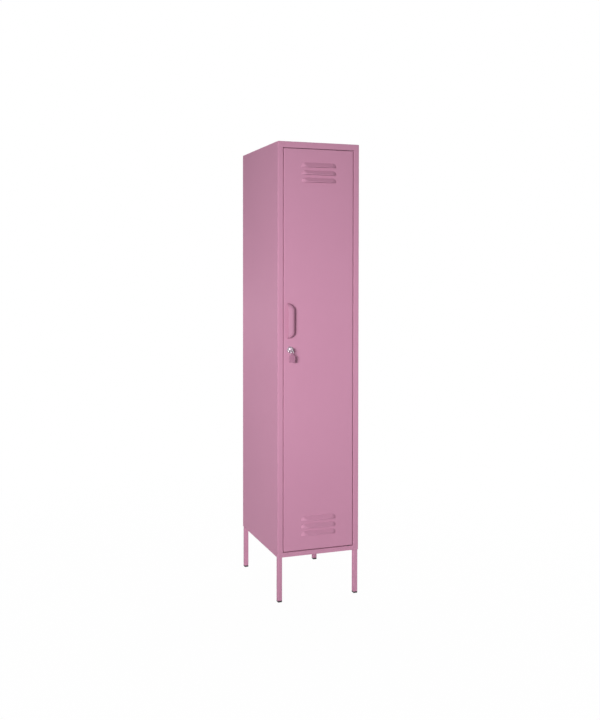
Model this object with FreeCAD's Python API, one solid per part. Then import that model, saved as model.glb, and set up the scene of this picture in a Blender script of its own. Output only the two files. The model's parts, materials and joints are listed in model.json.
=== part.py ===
import FreeCAD, Part
import math
import os

from FreeCAD import Vector

# Tall slim steel locker: a folded body on four tube legs, one door on hidden pin hinges,
# a cup pull, and a cam lock with its key, ring and leather tag.
# Millimetres, +Z up, front towards -Y, origin on the floor under the middle of the whole outline.

# Body
body_width = 350.0
body_depth = 460.0
body_height = 1650.0
leg_height = 180.0
sheet = 1.0
bend = 1.5
lap = 12.0
stile_width = 23.0
top_rail = 24.5
bottom_rail = 18.0
jamb_depth = 20.0
strike_width = 12.0
back_flange = 15.0

# Door and its hinges
latch_gap = 2.0
hinge_gap = 3.0
top_gap = 2.0
bottom_gap = 3.0
door_depth = 18.0
door_return = 12.0
hinge_inset = 15.0
hinge_setback = 8.0
pin_radius = 3.0
pin_head_radius = 5.0
pin_head = 3.0
pin_reach = 12.0
pin_tip = 1.0
bush_wall = 1.5
bush_rim = 2.5
bush_flange = 1.5
bush_length = 10.0
hinge_plate = 3.0
hinge_plate_length = 36.0

# Pressed louvres, a group near each end of the door
louvre_count = 3
louvre_width = 149.0
louvre_height = 18.0
louvre_pitch = 30.0
louvre_projection = 10.0
louvre_corner = 15.0
louvre_shoulder_share = 0.58
louvre_shoulder_side = 10.0
louvre_shoulder_drop = 8.7
louvre_shoulder_corner = 8.5
louvre_end_slope = 30.0
louvre_ridge = 3.0
louvre_ridge_corner = 2.5
louvre_top_margin = 54.0
louvre_bottom_margin = 58.0

# Stiffener inside the door
stiffener_width = 30.0
stiffener_depth = 12.0
stiffener_flange = 12.0
stiffener_margin = 40.0

# Cup pull
pull_edge = 12.5
pull_rise = 919.5
pull_width = 33.5
pull_height = 140.0
pull_projection = 22.0
pull_corner = 29.0
pull_dome = 20.0
pull_wall = 2.0
pull_boss_radius = 4.0
pull_boss_inset = 26.0
pull_boss_edge = 16.0
screw_radius = 2.0
screw_head_radius = 3.8
screw_head = 2.6
screw_bite = 10.0

# Cam lock
lock_edge = 27.0
lock_drop = 114.5
lock_face = 3.5
lock_face_radius = 13.0
lock_face_bevel = 1.2
lock_barrel_radius = 9.5
lock_flats = 16.0
lock_nut_width = 24.0
lock_nut_thickness = 5.0
plug_radius = 6.5
plug_head = 1.8
plug_head_radius = 8.5
plug_recess = 0.4
cam_thickness = 2.0
cam_width = 16.0
cam_bite = 8.0
cam_clearance = 1.5
tang_side = 8.0
cam_screw_radius = 2.0
cam_screw_head = 2.4
cam_screw_head_radius = 6.2
cam_screw_length = 6.0

# Key, ring and tag
key_thickness = 2.2
key_blade_height = 8.0
key_blade_length = 20.0
key_notch = 2.0
key_notch_count = 4
key_shoulder_gap = 0.5
key_neck_length = 3.0
key_neck_height = 12.0
key_bow_radius = 10.0
key_hole_radius = 2.5
key_hole_offset = 5.5
ring_radius = 6.5
ring_wire = 0.9
tag_width = 26.0
tag_length = 38.0
tag_thickness = 3.2
tag_leather = 1.6
tag_neck_width = 6.0
tag_neck_length = 4.0
tag_corner = 4.0

# Legs and feet
leg_tube = 18.0
leg_wall = 1.5
leg_corner = 2.0
leg_inset = 2.0
leg_plate = 3.0
bolt_radius = 3.0
bolt_head = 3.3
bolt_head_radius = 5.5
bolt_spacing = 14.0
bolt_pitch = 24.0
bolt_margin = 10.0
bolt_tail = 3.0
foot_height = 7.0
foot_chamfer = 1.5
foot_plug = 15.0

# Inside: slotted strips, shelves on clips, hanging rail
strip_width = 20.0
strip_depth = 8.0
strip_front = 60.0
strip_back = 45.0
strip_margin = 18.0
slot_width = 12.0
slot_height = 5.0
slot_pitch = 50.0
upper_shelf_share = 0.8
lower_shelf_share = 0.17
shelf_height = 20.0
shelf_setback = 38.0
shelf_back_gap = 5.0
shelf_return = 12.0
shelf_side_gap = 0.8
clip_thickness = 1.5
clip_width = 10.0
clip_drop = 12.0
clip_tab = 13.0
clip_hook = 5.0
rail_radius = 8.0
rail_wall = 1.2
rail_drop = 62.0
rail_overhang = 8.0
bracket_thickness = 2.0
bracket_width = 28.0
bracket_flange = 22.0
bracket_inset = 22.0

# Back: holes for wall fixings and a cable
wall_hole_radius = 3.5
wall_hole_spacing = 200.0
wall_hole_drop = 60.0
cable_radius = 16.0
cable_rise = 110.0
grommet_wall = 3.0
grommet_rim = 4.0

# Rubber buffers on the strike
buffer_radius = 4.5
buffer_stem = 2.0
buffer_tail = 2.0
buffer_places_share = (0.25, 0.75)

# Clearances
fixing_fit = 0.2
running_fit = 0.05
running_gap = 0.3
key_fit = 0.2
overrun = 5.0
tolerance = 1e-6
full_turn = 360.0
hex_sides = 6

# Places worked out from the sizes
front_reach = lock_face + key_shoulder_gap + key_neck_length + 2 * key_bow_radius
front_y = (front_reach - body_depth) / 2
back_y = front_y + body_depth
middle_y = front_y + body_depth / 2
right_x = body_width / 2
left_x = -right_x
base_z = leg_height
top_z = base_z + body_height
sill_z = base_z + bottom_rail
rail_z = top_z - top_rail
opening_left = left_x + stile_width
opening_right = right_x - stile_width
door_left = opening_left + latch_gap
door_right = opening_right - hinge_gap
door_middle_x = (door_left + door_right) / 2
door_bottom = sill_z + bottom_gap
door_top = rail_z - top_gap
door_height = door_top - door_bottom
skin_back_y = front_y + sheet
hinge_x = door_right - hinge_inset
hinge_y = front_y + hinge_setback
strike_y = front_y + jamb_depth
pull_left = door_left + pull_edge
pull_z = door_bottom + pull_rise
lock_x = door_left + lock_edge
lock_z = pull_z - lock_drop
cam_y = strike_y + sheet + cam_clearance
lock_face_y = front_y - lock_face
key_shoulder_y = lock_face_y - key_shoulder_gap
key_bow_y = key_shoulder_y - key_neck_length - key_bow_radius
key_hole_y = key_bow_y - key_hole_offset
ring_top_z = lock_z - key_hole_radius + ring_wire + running_gap
ring_bottom_z = ring_top_z - 2 * ring_radius
outer_bend = bend + sheet
web_x = left_x + sheet + strip_depth
strip_bottom = sill_z + lap + strip_margin
strip_top = rail_z - lap - strip_margin
slot_count = int((strip_top - strip_bottom) / slot_pitch)
shelf_half = -web_x - clip_thickness - shelf_side_gap
shelf_front = front_y + shelf_setback
shelf_back = back_y - 2 * sheet - shelf_back_gap
floor_under = sill_z - sheet
leg_top = floor_under - leg_plate

along_x = Vector(1, 0, 0)
along_y = Vector(0, 1, 0)
along_z = Vector(0, 0, 1)


def on_xy(u, v):
    return Vector(u, v, 0)


def on_xz(u, v):
    return Vector(u, 0, v)


def on_yz(u, v):
    return Vector(0, u, v)


def rounded_face(points, radii, plane):
    """Flat face through the points, with an arc of the given radius at each corner."""
    corners = []
    for index, point in enumerate(points):
        here = plane(*point)
        to_before = plane(*points[index - 1]) - here
        to_after = plane(*points[(index + 1) % len(points)]) - here
        to_before.normalize()
        to_after.normalize()
        inward = to_before + to_after
        inward.normalize()
        half_angle = to_before.getAngle(to_after) / 2
        radius = radii[index]
        reach = radius / math.tan(half_angle)
        middle = here + inward * (radius / math.sin(half_angle) - radius)
        corners.append((here + to_before * reach, middle, here + to_after * reach))
    edges = []
    for index, (start, middle, end) in enumerate(corners):
        if radii[index]:
            edges.append(Part.Arc(start, middle, end).toShape())
        following = corners[(index + 1) % len(corners)][0]
        if (following - end).Length > tolerance:
            edges.append(Part.LineSegment(end, following).toShape())
    return Part.Face(Part.Wire(edges))


def folded_face(path, thickness, radius, plane):
    """Section of a bent sheet that lies to the right of the path, with the given inside radius."""
    directions = []
    for (u0, v0), (u1, v1) in zip(path, path[1:]):
        length = math.hypot(u1 - u0, v1 - v0)
        directions.append(((u1 - u0) / length, (v1 - v0) / length))
    near_radii = []
    far = []
    far_radii = []
    for index, (u, v) in enumerate(path):
        du0, dv0 = directions[max(index - 1, 0)]
        du1, dv1 = directions[min(index, len(directions) - 1)]
        scale = thickness / (1 + du0 * du1 + dv0 * dv1)
        far.append((u + scale * (dv0 + dv1), v - scale * (du0 + du1)))
        turn = du0 * dv1 - dv0 * du1
        near_radii.append(0 if abs(turn) < tolerance else radius + (thickness if turn < 0 else 0))
        far_radii.append(0 if abs(turn) < tolerance else radius + (thickness if turn > 0 else 0))
    return rounded_face(path + far[::-1], near_radii + far_radii[::-1], plane)


def moved(shape, offset):
    shape.translate(offset)
    return shape


def block(x_ends, y_ends, z_ends):
    """Box between two values on each axis, in either order."""
    low = Vector(min(x_ends), min(y_ends), min(z_ends))
    high = Vector(max(x_ends), max(y_ends), max(z_ends))
    size = high - low
    return Part.makeBox(size.x, size.y, size.z, low)


def lies_on(edge, axis, value):
    return all(abs(getattr(vertex.Point, axis) - value) < tolerance for vertex in edge.Vertexes)


def runs_along(edge, axis):
    start, end = (vertex.Point for vertex in edge.Vertexes)
    return abs(abs((end - start).dot(axis)) - edge.Length) < tolerance


def turned(profile, place, direction):
    """Revolve a profile of (radius, height) points about an axis from the place."""
    points = [Vector(radius, 0, height) for radius, height in profile]
    outline = Part.makePolygon(points + points[:1])
    solid = Part.Face(outline).revolve(Vector(), along_z, full_turn)
    solid.Placement = FreeCAD.Placement(place, FreeCAD.Rotation(along_z, direction))
    return solid


def hole(place, direction, radius, length):
    """Cutter for a round hole, running past both ends."""
    return Part.makeCylinder(radius, length + 2 * overrun, place - direction * overrun, direction)


def mirrored(shape):
    return shape.mirror(Vector(), along_x)


def joined(first, *others):
    return first.fuse(list(others)).removeSplitter()


# Body panels


def side_panel(strike):
    """Side wall with its front stile, jamb and back flange, drawn on the left."""
    path = [
        (opening_left, strike_y),
        (opening_left, front_y),
        (left_x, front_y),
        (left_x, back_y),
        (left_x + back_flange, back_y),
    ]
    if strike:
        path.insert(0, (opening_left + strike, strike_y))
    section = folded_face(path, sheet, bend, on_xy)
    return moved(section.extrude(along_z * (rail_z - sill_z)), along_z * sill_z)


def buffer_places():
    x = opening_left + strike_width - buffer_radius
    return [Vector(x, strike_y, door_bottom + share * door_height) for share in buffer_places_share]


def left_side_panel():
    cutters = [hole(place, along_y, buffer_stem, sheet) for place in buffer_places()]
    return side_panel(strike_width).cut(cutters)


def right_side_panel():
    return mirrored(side_panel(0))


def side_tongue(z_ends):
    """Joggled lap on the left that a top or bottom panel slides inside the side wall."""
    y_ends = (front_y + outer_bend, back_y - outer_bend)
    return block((left_x + sheet, left_x + 2 * sheet), y_ends, z_ends)


def cap_box(inset, radius):
    """Body of the top panel, drawn in from the outside by the inset."""
    low_z = rail_z - (overrun if inset else 0)
    high_z = top_z - inset
    solid = block((left_x + inset, right_x - inset), (front_y + inset, back_y - inset), (low_z, high_z))
    edges = [edge for edge in solid.Edges if runs_along(edge, along_z) or lies_on(edge, "z", high_z)]
    return solid.makeFillet(radius, edges)


def top_panel():
    shell = cap_box(0, outer_bend).cut(cap_box(sheet, bend))
    header = block((left_x + sheet, right_x - sheet), (front_y + sheet, strike_y), (rail_z, rail_z + sheet))
    tongue = side_tongue((rail_z - lap, rail_z + lap))
    pin_hole = hole(Vector(hinge_x, hinge_y, rail_z), along_z, pin_radius + fixing_fit, sheet)
    return joined(shell, header, tongue, mirrored(tongue)).cut(pin_hole)


def tray_box(inset, radius):
    """Body of the bottom panel, drawn in from the outside by the inset."""
    low_z = base_z - (overrun if inset else 0)
    high_z = sill_z - inset
    solid = block((left_x + inset, right_x - inset), (front_y + inset, back_y - inset), (low_z, high_z))
    edges = [edge for edge in solid.Edges if runs_along(edge, along_z)]
    return solid.makeFillet(radius, edges)


def bottom_panel():
    shell = tray_box(0, outer_bend).cut(tray_box(sheet, bend))
    tongue = side_tongue((sill_z, sill_z + lap))
    back_tongue = block(
        (left_x + outer_bend, right_x - outer_bend),
        (back_y - 3 * sheet, back_y - 2 * sheet),
        (sill_z, sill_z + lap),
    )
    cutters = [hole(Vector(hinge_x, hinge_y, floor_under), along_z, pin_radius + fixing_fit, sheet)]
    for place in all_bolt_places():
        cutters.append(hole(place - along_z * sheet, along_z, bolt_radius + fixing_fit, sheet))
    return joined(shell, tongue, mirrored(tongue), back_tongue).cut(cutters)


def cable_place():
    return Vector(0, back_y - 2 * sheet, sill_z + cable_rise)


def back_panel():
    sheet_ends = (back_y - 2 * sheet, back_y - sheet)
    panel = block((left_x + outer_bend, right_x - outer_bend), sheet_ends, (sill_z, rail_z + lap))
    cutters = [hole(cable_place(), along_y, cable_radius + grommet_wall, sheet)]
    for side in (-1, 1):
        place = Vector(side * wall_hole_spacing / 2, sheet_ends[0], rail_z - wall_hole_drop)
        cutters.append(hole(place, along_y, wall_hole_radius, sheet))
    return panel.cut(cutters)


def cable_grommet():
    """Ring that snaps into the back, level with the back flanges outside."""
    bore = cable_radius
    groove = cable_radius + grommet_wall
    rim = groove + grommet_rim
    profile = [(bore, -sheet), (rim, -sheet), (rim, 0), (groove, 0), (groove, sheet)]
    profile += [(rim, sheet), (rim, 2 * sheet), (bore, 2 * sheet)]
    return turned(profile, cable_place(), along_y)


def door_buffer(place):
    head = strike_y - front_y - door_depth - running_gap
    stem = sheet + buffer_tail
    profile = [(0, -head), (buffer_radius, -head), (buffer_radius, 0), (buffer_stem, 0)]
    profile += [(buffer_stem, stem), (0, stem)]
    return turned(profile, place, along_y)


def door_buffers():
    return Part.makeCompound([door_buffer(place) for place in buffer_places()])


# Legs


def leg_centre(x_side, y_side):
    x = x_side * (body_width / 2 - leg_inset - leg_tube / 2)
    return Vector(x, middle_y + y_side * (body_depth / 2 - leg_inset - leg_tube / 2), 0)


def bolt_places(x_side, y_side):
    """Two bolts in line behind the leg's tube, on the cabinet floor and clear of the door."""
    centre = leg_centre(x_side, y_side) + along_z * sill_z
    first = leg_tube / 2 + bolt_spacing
    return [centre - along_y * y_side * reach for reach in (first, first + bolt_pitch)]


leg_sides = {
    "front_left": (-1, -1),
    "front_right": (1, -1),
    "back_left": (-1, 1),
    "back_right": (1, 1),
}


def all_bolt_places():
    return [place for sides in leg_sides.values() for place in bolt_places(*sides)]


def square(side, radius):
    half = side / 2
    points = [(-half, -half), (half, -half), (half, half), (-half, half)]
    return rounded_face(points, [radius] * len(points), on_xy)


def leg(x_side, y_side):
    """Square tube welded under the end of a long plate."""
    centre = leg_centre(x_side, y_side)
    length = leg_top - foot_height
    outside = square(leg_tube, leg_corner).extrude(along_z * length)
    inside = square(leg_tube - 2 * leg_wall, leg_corner - leg_wall).extrude(along_z * length)
    tube = moved(outside.cut(inside), centre + along_z * foot_height)
    x_outside = centre.x + x_side * leg_tube / 2
    y_outside = centre.y + y_side * leg_tube / 2
    x_ends = (x_outside, x_outside - x_side * (leg_tube + bolt_margin))
    y_reach = leg_tube + bolt_spacing + bolt_pitch + bolt_margin
    y_ends = (y_outside, y_outside - y_side * y_reach)
    plate = block(x_ends, y_ends, (leg_top, floor_under))
    cutters = []
    bore = bolt_radius + running_fit
    for place in bolt_places(x_side, y_side):
        cutters.append(hole(Vector(place.x, place.y, leg_top), along_z, bore, leg_plate))
    return joined(tube, plate).cut(cutters)


def foot_cap(x_side, y_side):
    """Plastic cap with a chamfered sole and a plug inside the tube."""
    sole = square(leg_tube, leg_corner).extrude(along_z * foot_height)
    edges = [edge for edge in sole.Edges if lies_on(edge, "z", 0)]
    sole = sole.makeChamfer(foot_chamfer, edges)
    plug_side = leg_tube - 2 * leg_wall - 2 * fixing_fit
    plug = square(plug_side, leg_corner - leg_wall).extrude(along_z * (foot_height + foot_plug))
    return moved(joined(sole, plug), leg_centre(x_side, y_side))


def leg_bolt(place):
    tail = sheet + leg_plate + bolt_tail
    crown = bolt_head_radius / 2
    profile = [(0, -tail), (bolt_radius, -tail), (bolt_radius, 0), (bolt_head_radius, 0)]
    profile += [(bolt_head_radius, bolt_head / 2), (crown, bolt_head), (0, bolt_head)]
    return turned(profile, place, along_z)


def leg_bolts():
    return Part.makeCompound([leg_bolt(place) for place in all_bolt_places()])


# Inside fittings

strip_places = {
    "front_left": (-1, front_y + strip_front),
    "front_right": (1, front_y + strip_front),
    "back_left": (-1, back_y - strip_back - strip_width),
    "back_right": (1, back_y - strip_back - strip_width),
}


def slot_bottom(index):
    return strip_bottom + slot_pitch * (index + 1 / 2) - slot_height / 2


def shelf_strip(x_side, y):
    """Channel on the side wall, slotted up its whole height, drawn on the left."""
    wall_x = left_x + sheet
    path = [(wall_x, y + strip_width), (web_x, y + strip_width), (web_x, y), (wall_x, y)]
    strip = folded_face(path, sheet, 0, on_xy).extrude(along_z * (strip_top - strip_bottom))
    strip.translate(along_z * strip_bottom)
    slot_y = y + (strip_width - slot_width) / 2
    slots = []
    for index in range(slot_count):
        z = slot_bottom(index)
        ends = (web_x - strip_depth / 2, web_x + overrun)
        slots.append(block(ends, (slot_y, slot_y + slot_width), (z, z + slot_height)))
    strip = strip.cut(slots)
    return strip if x_side < 0 else mirrored(strip)


def shelf_clip(x_side, y, index):
    """Bent hook in a slot, with the tab that carries a shelf."""
    hook_x = web_x - sheet - fixing_fit - clip_thickness
    top = slot_bottom(index) + clip_thickness
    face_x = web_x + clip_thickness
    tab_z = shelf_bottom(index)
    path = [
        (hook_x, top - clip_hook),
        (hook_x, top),
        (face_x, top),
        (face_x, tab_z),
        (face_x + clip_tab, tab_z),
    ]
    clip = folded_face(path, clip_thickness, 0, on_xz).extrude(along_y * clip_width)
    clip.translate(along_y * (y + (strip_width - clip_width) / 2))
    return clip if x_side < 0 else mirrored(clip)


def shelf_bottom(index):
    return slot_bottom(index) + clip_thickness - clip_drop


upper_slot = int(slot_count * upper_shelf_share)
lower_slot = int(slot_count * lower_shelf_share)
upper_shelf_z = shelf_bottom(upper_slot) + shelf_height


def shelf_clips():
    clips = []
    for index in (upper_slot, lower_slot):
        clips += [shelf_clip(x_side, y, index) for x_side, y in strip_places.values()]
    return Part.makeCompound(clips)


def shelf(index):
    """Folded tray, open below, with turned-in edges that sit on the clips."""
    low = shelf_bottom(index)
    high = low + shelf_height
    path = [
        (shelf_front + shelf_return, low),
        (shelf_front, low),
        (shelf_front, high),
        (shelf_back, high),
        (shelf_back, low),
        (shelf_back - shelf_return, low),
    ]
    tray = folded_face(path, sheet, bend, on_yz).extrude(along_x * 2 * shelf_half)
    tray.translate(-along_x * shelf_half)
    y_ends = (shelf_front + outer_bend, shelf_back - outer_bend)
    side = block((-shelf_half, sheet - shelf_half), y_ends, (low, high - sheet))
    edge = block((-shelf_half, shelf_return - shelf_half), y_ends, (low, low + sheet))
    return joined(tray, side, edge, mirrored(side), mirrored(edge))


rail_z_centre = upper_shelf_z - rail_drop
rail_y = (shelf_front + shelf_back) / 2
bracket_x = shelf_half - bracket_inset


def rail_bracket():
    """Angle under the shelf whose rounded leg holds the rail, drawn on the right."""
    seat = upper_shelf_z - sheet
    x_ends = (bracket_x - bracket_thickness, bracket_x)
    y_ends = (rail_y - bracket_width / 2, rail_y + bracket_width / 2)
    leg_plate_block = block(x_ends, y_ends, (rail_z_centre, seat))
    place = Vector(x_ends[0], rail_y, rail_z_centre)
    round_end = Part.makeCylinder(bracket_width / 2, bracket_thickness, place, along_x)
    flange = block((bracket_x - bracket_flange, bracket_x), y_ends, (seat - bracket_thickness, seat))
    cutter = hole(place, along_x, rail_radius + fixing_fit, bracket_thickness)
    return joined(leg_plate_block, round_end, flange).cut(cutter)


def rail_brackets():
    return Part.makeCompound([rail_bracket(), mirrored(rail_bracket())])


def hanging_rail():
    half = bracket_x + rail_overhang
    place = Vector(-half, rail_y, rail_z_centre)
    tube = Part.makeCylinder(rail_radius, 2 * half, place, along_x)
    return tube.cut(hole(place, along_x, rail_radius - rail_wall, 2 * half))


# Door


def pan_box(inset, radius):
    """Body of the door pan, drawn in from the outside by the inset and open to the back."""
    y_ends = (front_y + inset, front_y + door_depth + (overrun if inset else 0))
    solid = block((door_left + inset, door_right - inset), y_ends, (door_bottom + inset, door_top - inset))
    edges = [edge for edge in solid.Edges if runs_along(edge, along_y) or lies_on(edge, "y", y_ends[0])]
    return solid.makeFillet(radius, edges)


def louvre_section(side, drop, corner, y):
    """Rounded outline of a boss at one depth, drawn in from its foot by the given side and drop."""
    half = louvre_width / 2 - side
    height = louvre_height - drop
    points = [(-half, -height), (half, -height), (half, height), (-half, height)]
    return moved(rounded_face(points, [corner] * len(points), on_xz), along_y * y)


def louvre_form(setback):
    """Half of a crowned boss: a hood that swells out from its crease down to an open lip."""
    foot = louvre_section(0, 0, louvre_corner, setback)
    shoulder_y = setback - louvre_projection * louvre_shoulder_share
    shoulder_inset = (louvre_shoulder_side, louvre_shoulder_drop, louvre_shoulder_corner)
    shoulder = louvre_section(*shoulder_inset, shoulder_y)
    ridge_inset = (louvre_end_slope, louvre_height - louvre_ridge, louvre_ridge_corner)
    ridge = louvre_section(*ridge_inset, setback - louvre_projection)
    boss = Part.makeLoft([foot.OuterWire, shoulder.OuterWire, ridge.OuterWire], True)
    root = foot.extrude(along_y * sheet)
    reach = louvre_width + louvre_projection
    upper_half = block((-reach, reach), (-reach, reach), (0, reach))
    return boss.fuse(root).common(upper_half)


def louvre_lips():
    """Lip heights of both groups, from the top down."""
    first_top = door_top - louvre_top_margin - louvre_height
    last_bottom = door_bottom + louvre_bottom_margin
    steps = [louvre_pitch * index for index in range(louvre_count)]
    return [first_top - step for step in steps] + [last_bottom + step for step in reversed(steps)]


def pull_screw_places():
    reach = pull_height / 2 - pull_boss_inset
    x = pull_left + pull_boss_edge
    return [Vector(x, skin_back_y, pull_z + side * reach) for side in (-1, 1)]


def lock_hole():
    """Round hole with two flats, so that the lock's barrel can't turn in the door."""
    flat = lock_flats / 2 + fixing_fit
    cutter = hole(Vector(lock_x, front_y, lock_z), along_y, lock_barrel_radius + fixing_fit, sheet)
    reach = lock_barrel_radius + overrun
    y_ends = (front_y - overrun, skin_back_y + overrun)
    sides = block((lock_x - flat, lock_x + flat), y_ends, (lock_z - reach, lock_z + reach))
    return cutter.common(sides)


def door_skin():
    """Folded pan with pressed louvres, turned-in long edges and the holes for its fittings."""
    pan = pan_box(0, outer_bend).cut(pan_box(sheet, bend))
    back_ends = (front_y + door_depth - sheet, front_y + door_depth)
    z_ends = (door_bottom + outer_bend, door_top - outer_bend)
    edges = [
        block((door_left + sheet, door_left + door_return), back_ends, z_ends),
        block((door_right - sheet, door_right - door_return), back_ends, z_ends),
    ]
    hoods = []
    mouths = []
    for lip in louvre_lips():
        place = Vector(door_middle_x, front_y, lip)
        hoods.append(moved(louvre_form(0), place))
        mouths.append(moved(louvre_form(sheet), place))
    cutters = mouths + [lock_hole()]
    for place in pull_screw_places():
        cutters.append(hole(place - along_y * sheet, along_y, screw_radius + fixing_fit, sheet))
    bush_radius = pin_radius + running_fit + bush_wall
    for z in (door_bottom, door_top - sheet):
        cutters.append(hole(Vector(hinge_x, hinge_y, z), along_z, bush_radius, sheet))
    return joined(pan, *edges, *hoods).cut(cutters)


def door_stiffener():
    """Hat channel up the middle of the door, between the two groups of louvres."""
    lips = louvre_lips()
    high = lips[louvre_count - 1] - stiffener_margin
    low = lips[louvre_count] + louvre_height + stiffener_margin
    crown = skin_back_y + stiffener_depth
    half = stiffener_width / 2
    path = [
        (door_middle_x - half - stiffener_flange, skin_back_y),
        (door_middle_x - half, skin_back_y),
        (door_middle_x - half, crown),
        (door_middle_x + half, crown),
        (door_middle_x + half, skin_back_y),
        (door_middle_x + half + stiffener_flange, skin_back_y),
    ]
    section = folded_face(path[::-1], sheet, bend, on_xy)
    return moved(section.extrude(along_z * (high - low)), along_z * low)


def hinge_plates():
    """Backing plates inside the door's ends, round the bushes."""
    x_end = door_right - outer_bend
    x_ends = (x_end - hinge_plate_length, x_end)
    y_ends = (front_y + outer_bend, front_y + door_depth - sheet)
    bush_radius = pin_radius + running_fit + bush_wall
    plates = []
    for z in (door_bottom + sheet, door_top - sheet - hinge_plate):
        cutter = hole(Vector(hinge_x, hinge_y, z), along_z, bush_radius, hinge_plate)
        plates.append(block(x_ends, y_ends, (z, z + hinge_plate)).cut(cutter))
    return Part.makeCompound(plates)


def hinge_bush(z, direction, flange):
    """Flanged nylon bush in an end of the door, with its flange in the gap outside."""
    bore = pin_radius + running_fit
    sleeve = bore + bush_wall
    rim = sleeve + bush_rim
    profile = [(bore, -bush_length), (sleeve, -bush_length), (sleeve, 0), (rim, 0)]
    profile += [(rim, flange), (bore, flange)]
    return turned(profile, Vector(hinge_x, hinge_y, z), direction)


def upper_hinge_bush():
    return hinge_bush(door_top, along_z, bush_flange)


def lower_hinge_bush():
    """The flange carries the door, so it fills the lower gap but for a running gap."""
    return hinge_bush(door_bottom, -along_z, bottom_gap - running_gap)


def hinge_pin(seat_z, direction, gap):
    """Headed pin through a sheet of the body into the door; its head bears on the seat."""
    reach = sheet + gap + pin_reach
    profile = [(0, -pin_head), (pin_head_radius, -pin_head), (pin_head_radius, 0), (pin_radius, 0)]
    profile += [(pin_radius, reach - pin_tip), (pin_radius - pin_tip, reach), (0, reach)]
    return turned(profile, Vector(hinge_x, hinge_y, seat_z), direction)


def upper_hinge_pin():
    return hinge_pin(rail_z + sheet, -along_z, top_gap)


def lower_hinge_pin():
    return hinge_pin(floor_under, along_z, bottom_gap)


# Pull


def pull_form(wall):
    """Outside of the cup, or its hollow inside a wall: a D with a rolled edge and its mouth to the left."""
    left = pull_left - (overrun if wall else 0)
    right = pull_left + pull_width - wall
    half = pull_height / 2 - wall
    points = [(left, -half), (right, -half), (right, half), (left, half)]
    corner = pull_corner - wall
    root = overrun if wall else 0
    reach = pull_projection - wall
    outline = moved(rounded_face(points, [0, corner, corner, 0], on_xz), Vector(0, root, 0))
    solid = outline.extrude(-along_y * (reach + root))
    rim = [edge for edge in solid.Edges if lies_on(edge, "y", -reach) and not lies_on(edge, "x", left)]
    return moved(solid.makeFillet(pull_dome - wall, rim), Vector(0, front_y, pull_z))


def handle_pull():
    outside = pull_form(0)
    cup = outside.cut(pull_form(pull_wall))
    bosses = []
    cutters = []
    for place in pull_screw_places():
        seat = Vector(place.x, front_y, place.z)
        post = Part.makeCylinder(pull_boss_radius, pull_projection, seat, -along_y)
        bosses.append(post.common(outside))
        cutters.append(Part.makeCylinder(screw_radius, screw_bite, seat, -along_y))
    return joined(cup, *bosses).cut(cutters)


def pull_screw(place):
    tail = sheet + screw_bite
    crown = screw_head_radius / 2
    profile = [(0, -tail), (screw_radius, -tail), (screw_radius, 0), (screw_head_radius, 0)]
    profile += [(screw_head_radius, screw_head / 2), (crown, screw_head), (0, screw_head)]
    return turned(profile, place, along_y)


def handle_screws():
    return Part.makeCompound([pull_screw(place) for place in pull_screw_places()])


# Lock and key


def lock_housing():
    """Bevelled face and a flatted barrel, bored and counterbored for the plug."""
    end = cam_y - running_gap - lock_face_y
    bore = plug_radius + running_fit
    seat = plug_head_radius + running_fit
    profile = [
        (seat, 0),
        (lock_face_radius - lock_face_bevel, 0),
        (lock_face_radius, lock_face_bevel),
        (lock_face_radius, lock_face),
        (lock_barrel_radius, lock_face),
        (lock_barrel_radius, end),
        (bore, end),
        (bore, plug_head),
        (seat, plug_head),
    ]
    housing = turned(profile, Vector(lock_x, lock_face_y, lock_z), along_y)
    reach = lock_barrel_radius + overrun
    flats = []
    for side in (-1, 1):
        x_ends = (lock_x + side * lock_flats / 2, lock_x + side * reach)
        flats.append(block(x_ends, (front_y, cam_y), (lock_z - reach, lock_z + reach)))
    return housing.cut(flats)


def lock_nut():
    """Hexagon nut that pulls the lock's face against the door."""
    corner = lock_nut_width / 2 / math.cos(math.pi / hex_sides)
    turns = [2 * math.pi * index / hex_sides for index in range(hex_sides)]
    points = [(corner * math.cos(turn), corner * math.sin(turn)) for turn in turns]
    nut = rounded_face(points, [0] * hex_sides, on_xz).extrude(along_y * lock_nut_thickness)
    bore = hole(Vector(), along_y, lock_barrel_radius, lock_nut_thickness)
    return moved(nut.cut(bore), Vector(lock_x, skin_back_y, lock_z))


def lock_plug():
    """Turning core: a head in the counterbore, the keyway, and a square tang for the cam."""
    end = cam_y - lock_face_y
    head_end = plug_head - running_fit
    profile = [(0, plug_recess), (plug_head_radius, plug_recess), (plug_head_radius, head_end)]
    profile += [(plug_radius, head_end), (plug_radius, end), (0, end)]
    core = turned(profile, Vector(lock_x, lock_face_y, lock_z), along_y)
    half = tang_side / 2
    tang_ends = (cam_y, cam_y + cam_thickness)
    tang = block((lock_x - half, lock_x + half), tang_ends, (lock_z - half, lock_z + half))
    slot_x = key_thickness / 2 + key_fit
    slot_z = key_blade_height / 2 + key_fit
    slot_end = lock_face_y + key_blade_length + key_fit
    slot_ends = (lock_face_y - overrun, slot_end)
    keyway = block((lock_x - slot_x, lock_x + slot_x), slot_ends, (lock_z - slot_z, lock_z + slot_z))
    seat = Vector(lock_x, cam_y + cam_thickness, lock_z)
    tapped = Part.makeCylinder(cam_screw_radius, cam_screw_length, seat, -along_y)
    return joined(core, tang).cut([keyway, tapped])


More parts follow.
